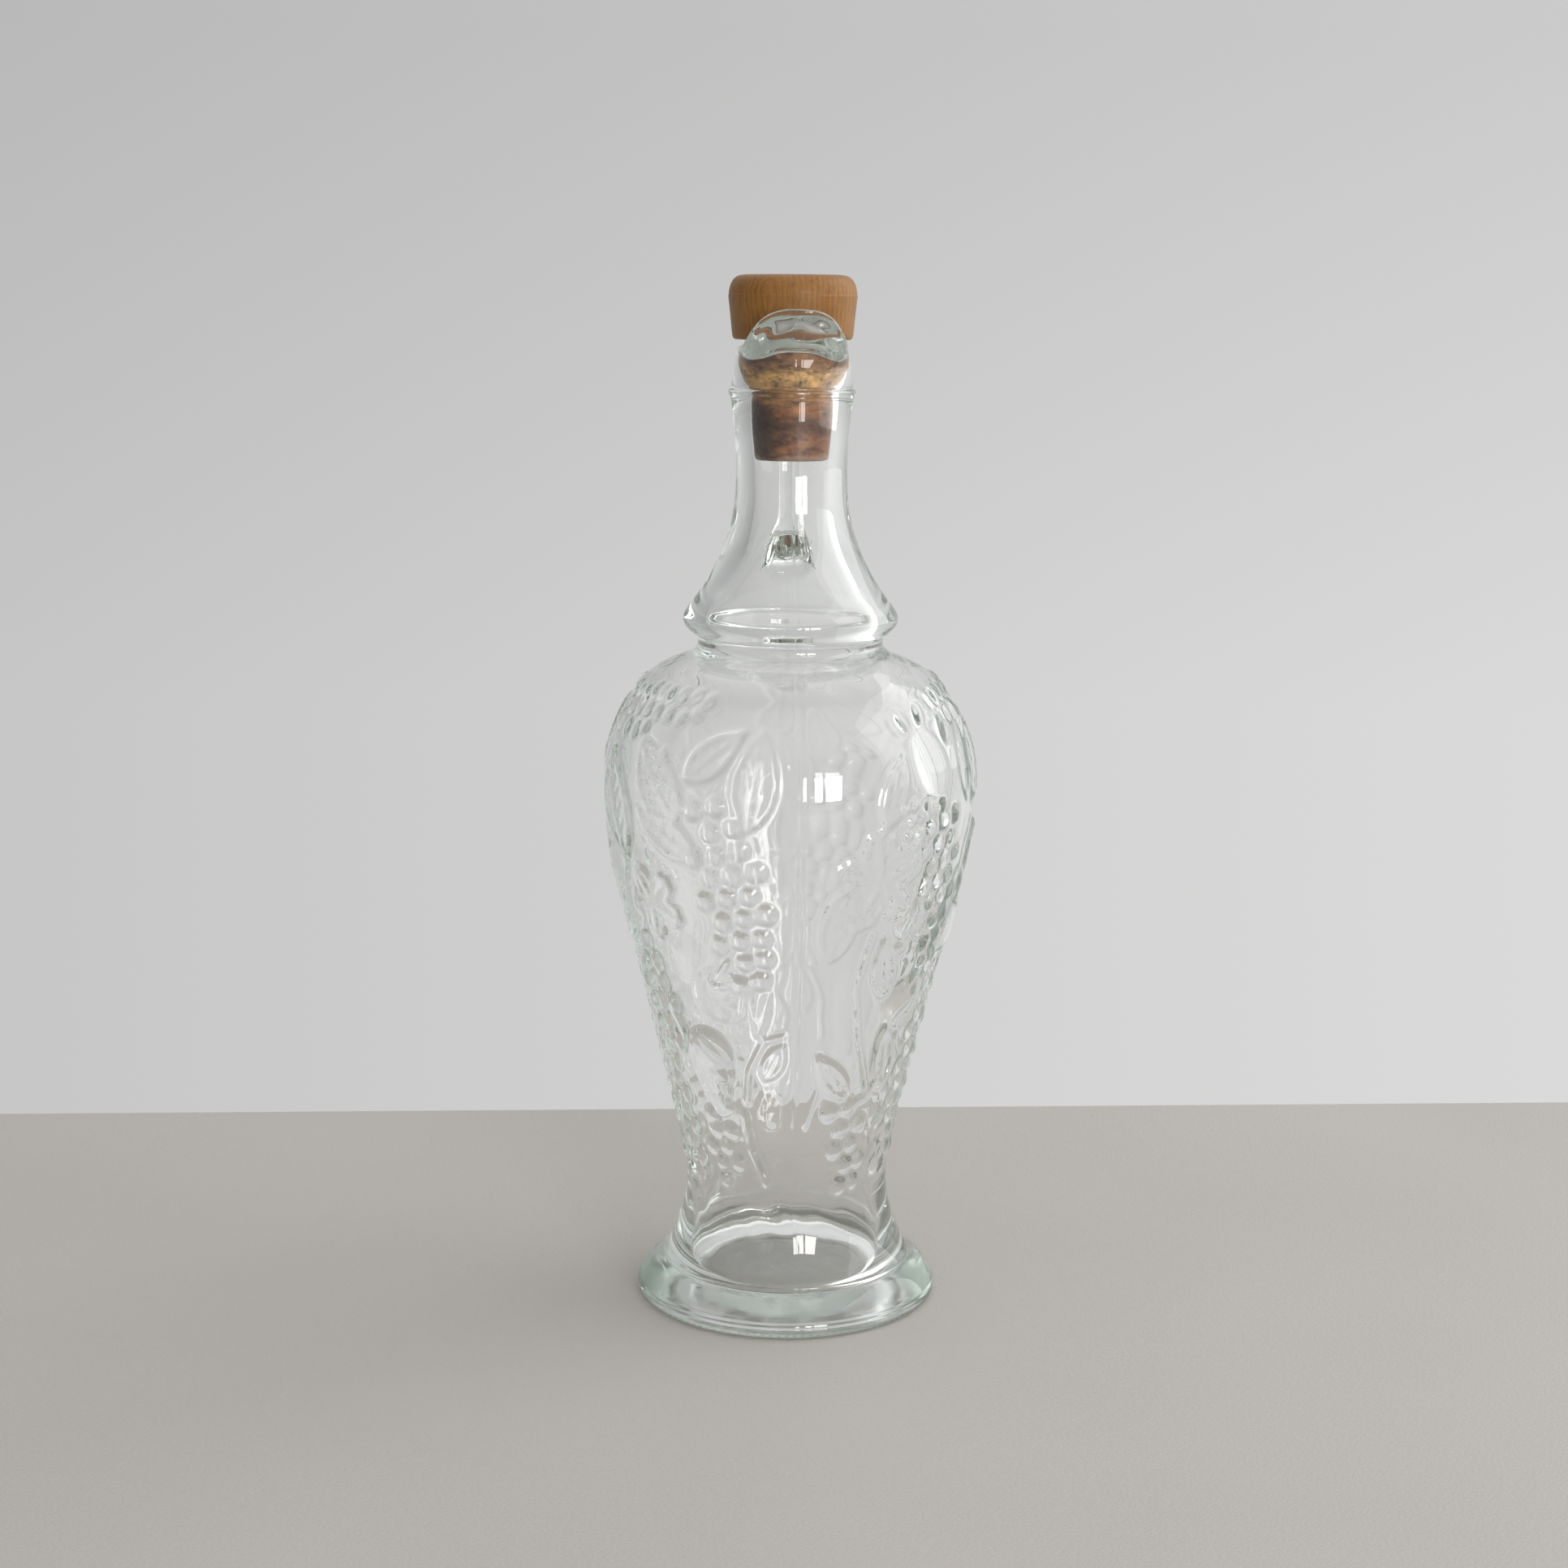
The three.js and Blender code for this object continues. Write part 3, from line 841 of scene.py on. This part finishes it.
def glass_material():
    """Soda-lime glass: clear where thin, faintly green where thick, a little worn underneath."""
    n = Nodes("clear_glass")
    height = n.add("SeparateXYZ", {"Vector": n.place()}).outputs["Z"]
    stipple = n.add("MapRange", {"Value": height, "From Min": 1.0 * MM, "From Max": 1.4 * MM,
                                 "To Min": 1.0, "To Max": 0.0}).outputs["Result"]
    cloud = n.noise(n.place(), 120.0, 4.0, 0.6)
    patches = n.ramp(cloud, [(0.36, grey(0.03)), (0.62, grey(0.22))])
    frost = n.math("MULTIPLY", stipple, patches)
    n.surface(Base_Color=grey(1.0), Roughness=frost, IOR=1.51, Transmission_Weight=1.0)
    tint = n.add("VolumeAbsorption", {"Color": (0.53, 0.65, 0.58, 1.0), "Density": 9.0})
    n.tree.links.new(tint.outputs["Volume"], n.output.inputs["Volume"])
    return n.material


def wood_material():
    """Caramel-brown turned wood: growth rings about a pith outside the head, and fine upright grain."""
    n = Nodes("turned_wood")
    log = n.place(location=(0.021, 0.034, 0.0), rotation=(0.05, -0.04, 0.0))
    rings = n.add("TexWave", {"Vector": log, "Scale": 190.0, "Distortion": 3.2, "Detail": 3.0,
                              "Detail Scale": 0.35, "Detail Roughness": 0.6},
                  wave_type="RINGS", rings_direction="Z", wave_profile="SAW").outputs["Fac"]
    fibre = n.noise(n.place(scale=(1.0, 1.0, 0.045)), 2600.0, 3.0, 0.65)
    flecks = n.noise(n.place(scale=(1.0, 1.0, 0.09)), 900.0, 2.0, 0.5)
    cloud = n.noise(n.place(), 60.0, 3.0)
    base = n.ramp(rings, [(0.0, (0.285, 0.124, 0.028)), (0.55, (0.335, 0.154, 0.037)),
                          (1.0, (0.240, 0.101, 0.022))])
    grain = n.ramp(fibre, [(0.34, (0.62, 0.60, 0.58)), (0.60, (1.0, 1.0, 1.0))])
    colour = n.mix(1.0, base, grain, "MULTIPLY")
    pores = n.ramp(flecks, [(0.60, grey(0.0)), (0.72, grey(1.0))])
    colour = n.mix(n.math("MULTIPLY", pores, 0.45), colour, (0.095, 0.038, 0.010, 1.0))
    colour = n.mix(n.ramp(cloud, [(0.40, grey(0.0)), (0.70, grey(0.35))]), colour,
                   (0.38, 0.195, 0.065, 1.0))
    gloss = n.math("ADD", n.math("MULTIPLY", fibre, 0.18), 0.36)
    n.surface(Base_Color=colour, Roughness=gloss, Specular_IOR_Level=0.3, Coat_Weight=0.06,
              Coat_Roughness=0.25)
    relief = n.math("ADD", n.math("MULTIPLY", fibre, 0.7), n.math("MULTIPLY", rings, 0.3))
    n.bump(relief, 0.32, 0.25 * MM)
    return n.material


def cork_material():
    """Natural cork: golden above, then brown, and dark and reddish where oil has reached it lower down;
    painted shade darkens its top band under the head and its left side below the collar.
    """
    n = Nodes("natural_cork")
    grains = n.add("TexVoronoi", {"Vector": n.place(), "Scale": 750.0}, feature="F1")
    shade = n.ramp(grains.outputs["Distance"],
                   [(0.05, (0.42, 0.240, 0.085)), (0.9, (0.62, 0.38, 0.150))])
    speck = n.noise(n.place(scale=(1.0, 1.0, 1.7)), 420.0, 3.0, 0.6)
    holes = n.ramp(speck, [(0.56, grey(0.0)), (0.68, grey(1.0))])
    colour = n.mix(n.math("MULTIPLY", holes, 0.72), shade, (0.10, 0.045, 0.018, 1.0))
    split = n.add("SeparateXYZ", {"Vector": n.place()})
    ragged = n.noise(n.place(scale=(1.0, 1.0, 0.6)), 170.0, 4.0, 0.6)
    stray = n.math("SUBTRACT", ragged, 0.5)
    level = n.math("ADD", n.math("MULTIPLY", stray, 0.009), split.outputs["Z"])
    low, top = CORK_BOTTOM * MM, (CORK_BOTTOM + 42.0) * MM
    share = n.add("MapRange", {"Value": level, "From Min": low, "From Max": top}).outputs["Result"]
    # Mix towards darker reddish tones low down, where oil has reached the cork; the band at the top,
    # under the head, gets the same dark tone as painted shade.
    soak_and_top_shade = n.ramp(share, [(0.0, grey(0.92)), (0.36, grey(0.95)), (0.46, grey(0.75)),
                           (0.52, grey(0.10)), (0.64, grey(0.12)), (0.70, grey(0.80)),
                           (0.82, grey(0.80))])
    soak_and_shade_tones = n.ramp(share, [(0.0, (0.24, 0.084, 0.030)), (0.17, (0.170, 0.056, 0.020)),
                            (0.27, (0.080, 0.020, 0.004)), (0.36, (0.25, 0.092, 0.024)),
                            (0.44, (0.28, 0.115, 0.030)), (0.50, (0.15, 0.054, 0.013)),
                            (0.72, (0.17, 0.062, 0.026))])
    colour = n.mix(soak_and_top_shade, colour, soak_and_shade_tones)
    streak = n.noise(n.place(scale=(1.0, 1.0, 2.2)), 170.0, 6.0, 0.7)
    mottle = n.ramp(streak, [(0.36, (0.34, 0.28, 0.25)), (0.48, (0.95, 0.93, 0.90)),
                             (0.64, (1.70, 1.65, 1.50))])
    colour = n.mix(1.0, colour, mottle, "MULTIPLY")
    # Painted shade: the cork's left side below the collar is made near black, as the light comes from
    # the right.
    across = n.math("ADD", n.math("MULTIPLY", stray, 0.008), split.outputs["X"])
    left = n.add("MapRange", {"Value": across, "From Min": -3.5 * MM,
                              "From Max": -7.5 * MM}).outputs["Result"]
    left_painted_shade = n.ramp(share, [(0.0, grey(0.80)), (0.40, grey(0.85)), (0.48, grey(0.0))])
    colour = n.mix(n.math("MULTIPLY", left, left_painted_shade), colour, (0.016, 0.010, 0.012, 1.0))
    edge = n.ramp(share, [(0.0, grey(0.75)), (0.035, grey(0.0))])
    colour = n.mix(edge, colour, (0.42, 0.30, 0.22, 1.0))
    n.surface(Base_Color=colour, Roughness=n.math("ADD", n.math("MULTIPLY", speck, 0.25), 0.5))
    pitted = n.math("SUBTRACT", grains.outputs["Distance"], n.math("MULTIPLY", holes, 0.5))
    n.bump(pitted, 0.4, 0.3 * MM)
    return n.material


def table_material():
    """A pale, matt top with a fine grain."""
    n = Nodes("table_top")
    fine = n.noise(n.place(scale=(1.0, 1.6, 1.0)), 900.0, 3.0, 0.5)
    broad = n.noise(n.place(), 5.0, 2.0, 0.5)
    colour = n.ramp(broad, [(0.3, (0.424, 0.405, 0.383)), (0.7, (0.452, 0.432, 0.409))])
    n.surface(Base_Color=colour, Roughness=0.62)
    n.bump(fine, 0.35, 0.5 * MM)
    return n.material


# ---------------------------------------------------------------------------------------------
# Assembly
# ---------------------------------------------------------------------------------------------

PIECES = (
    (build_glass, glass_material, "bottle", "glass_bottle", "clear_glass"),
    (build_cork, cork_material, "stopper", "stopper_cork", "natural_cork"),
    (build_head, wood_material, "stopper", "stopper_head", "turned_wood"),
)
for build, material, body, node, slot in PIECES:
    piece = build()
    piece.data.materials.append(material())
    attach(piece, body)
    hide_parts(node)

# ---------------------------------------------------------------------------------------------
# Camera: in front, level with the lip, looking a little down
# ---------------------------------------------------------------------------------------------

CAMERA_DISTANCE = 0.7637
CAMERA_HEIGHT = 0.3003
CAMERA_AZIMUTH = -3.5
CAMERA_PITCH = 10.49
CAMERA_ROLL = 0.41
CAMERA_SIDESTEP = 0.0016
LENS = 58.98
SENSOR_WIDTH = 36.0

azimuth, pitch, roll = (math.radians(v) for v in (CAMERA_AZIMUTH, CAMERA_PITCH, CAMERA_ROLL))
right = Vector((math.cos(azimuth), math.sin(azimuth), 0.0))
ahead = Vector((-math.sin(azimuth), math.cos(azimuth), 0.0))
forward = ahead * math.cos(pitch) - Vector((0, 0, 1)) * math.sin(pitch)
upward = right.cross(forward)
facing = Matrix((right, upward, -forward)).transposed().to_4x4()
camera_data = bpy.data.cameras.new("camera")
camera_data.lens = LENS
camera_data.sensor_width = SENSOR_WIDTH
camera_data.clip_start = 0.02
camera = bpy.data.objects.new("camera", camera_data)
position = -ahead * CAMERA_DISTANCE - right * CAMERA_SIDESTEP + Vector((0, 0, CAMERA_HEIGHT))
camera.matrix_world = Matrix.Translation(position) @ facing @ Matrix.Rotation(roll, 4, "Z")
bpy.context.scene.collection.objects.link(camera)
bpy.context.scene.camera = camera

# ---------------------------------------------------------------------------------------------
# Table: its far edge meets the wall behind
# ---------------------------------------------------------------------------------------------

TABLE_BACK = 0.179
TABLE_SLANT = 0.0474
TABLE_HALF_WIDTH = 2.4
TABLE_FRONT = 2.6
TABLE_GAP = 0.2 * MM

corners = []
for across, depth in ((-TABLE_HALF_WIDTH, -TABLE_FRONT), (TABLE_HALF_WIDTH, -TABLE_FRONT),
                      (TABLE_HALF_WIDTH, TABLE_BACK + TABLE_SLANT * TABLE_HALF_WIDTH),
                      (-TABLE_HALF_WIDTH, TABLE_BACK - TABLE_SLANT * TABLE_HALF_WIDTH)):
    corners.append(right * across + ahead * depth + Vector((0, 0, -TABLE_GAP)))
table_mesh = bpy.data.meshes.new("table")
table_mesh.from_pydata([tuple(c) for c in corners], [], [(0, 1, 2, 3)])
table = bpy.data.objects.new("table", table_mesh)
table_mesh.materials.append(table_material())
bpy.context.scene.collection.objects.link(table)

# ---------------------------------------------------------------------------------------------
# Light: a pale wall behind, a dimmer room in front, a window of two panes at the front right and
# a broad soft light at the right
# ---------------------------------------------------------------------------------------------

WALL_COLOUR = (0.620, 0.622, 0.618)
WALL_SIDE_GAIN = 0.37
ROOM_LEFT = (0.26, 0.25, 0.24, 1.0)
ROOM_RIGHT = (0.80, 0.79, 0.77, 1.0)
# Brightness by height of view, as (direction's Z, half the strength): the ceiling is the brightest.
BRIGHTNESS = ((-1.0, 0.50), (-0.15, 0.50), (0.10, 0.425), (0.30, 0.44), (1.0, 0.95))

# Lights, as (name, watts, (width, height), place, aim, colour).
DAYLIGHT = (1.0, 0.985, 0.96)
WHITE = (1.0, 1.0, 1.0)
WINDOW_AIM = (0.0, 0.0, 0.16)
LIGHTS = (
    ("window_left", 3.1, (0.14, 0.42), (0.4055, -1.6395, 0.38), WINDOW_AIM, DAYLIGHT),
    ("window_right", 6.4, (0.29, 0.42), (0.657, -1.548, 0.38), WINDOW_AIM, DAYLIGHT),
    ("side", 10.0, (1.7, 1.4), (1.25, 0.1, 0.75), (0.0, 0.0, 0.05), WHITE),
)


def make_world():
    world = bpy.data.worlds.new("room")
    bpy.context.scene.world = world
    world.use_nodes = True
    tree = world.node_tree

    def node(kind, inputs=None, **settings):
        made = tree.nodes.new("ShaderNode" + kind)
        for key, value in settings.items():
            setattr(made, key, value)
        for key, value in (inputs or {}).items():
            if isinstance(value, bpy.types.NodeSocket):
                tree.links.new(value, made.inputs[key])
            else:
                made.inputs[key].default_value = value
        return made

    where = node("TexCoord").outputs["Generated"]
    split = node("SeparateXYZ", {"Vector": where}).outputs
    depth = node("MapRange", {"Value": split["Y"], "From Min": -0.25, "From Max": 0.75},
                 interpolation_type="SMOOTHSTEP").outputs["Result"]
    side = node("MapRange", {"Value": split["X"], "From Min": -1.0,
                             "From Max": 1.0}).outputs["Result"]
    room = node("Mix", {0: side, 6: ROOM_LEFT, 7: ROOM_RIGHT}, data_type="RGBA").outputs[2]
    gain = node("Math", {0: split["X"], 1: WALL_SIDE_GAIN, 2: 1.0}, operation="MULTIPLY_ADD")
    wall = node("VectorMath", {0: WALL_COLOUR, "Scale": gain.outputs[0]},
                operation="SCALE").outputs[0]
    colour = node("Mix", {0: depth, 6: room, 7: wall}, data_type="RGBA").outputs[2]
    level = node("MapRange", {"Value": split["Z"], "From Min": -1.0,
                              "From Max": 1.0}).outputs["Result"]
    ramp = node("ValToRGB", {"Fac": level})
    elements = ramp.color_ramp.elements
    while len(elements) < len(BRIGHTNESS):
        elements.new(0.5)
    for element, (z, value) in zip(elements, BRIGHTNESS):
        element.position = 0.5 + 0.5 * z
        element.color = grey(value)
    strength = node("Math", {0: ramp.outputs["Color"], 1: 2.0}, operation="MULTIPLY").outputs[0]
    background = tree.nodes["Background"]
    tree.links.new(colour, background.inputs["Color"])
    tree.links.new(strength, background.inputs["Strength"])


def area_light(name, energy, size, location, target, colour):
    data = bpy.data.lights.new(name, "AREA")
    data.shape = "RECTANGLE"
    data.size, data.size_y = size
    data.energy = energy
    data.color = colour
    obj = bpy.data.objects.new(name, data)
    obj.location = location
    obj.rotation_euler = (Vector(target) - Vector(location)).to_track_quat("-Z", "Y").to_euler()
    obj.visible_camera = False
    bpy.context.scene.collection.objects.link(obj)


make_world()
for light in LIGHTS:
    area_light(*light)

# Light runs a long way inside thick glass, so its paths need many bounces.
scene = bpy.context.scene
scene.view_settings.view_transform = "Standard"
scene.cycles.max_bounces = 96
scene.cycles.transmission_bounces = 96
scene.cycles.glossy_bounces = 32
scene.cycles.blur_glossy = 0.3
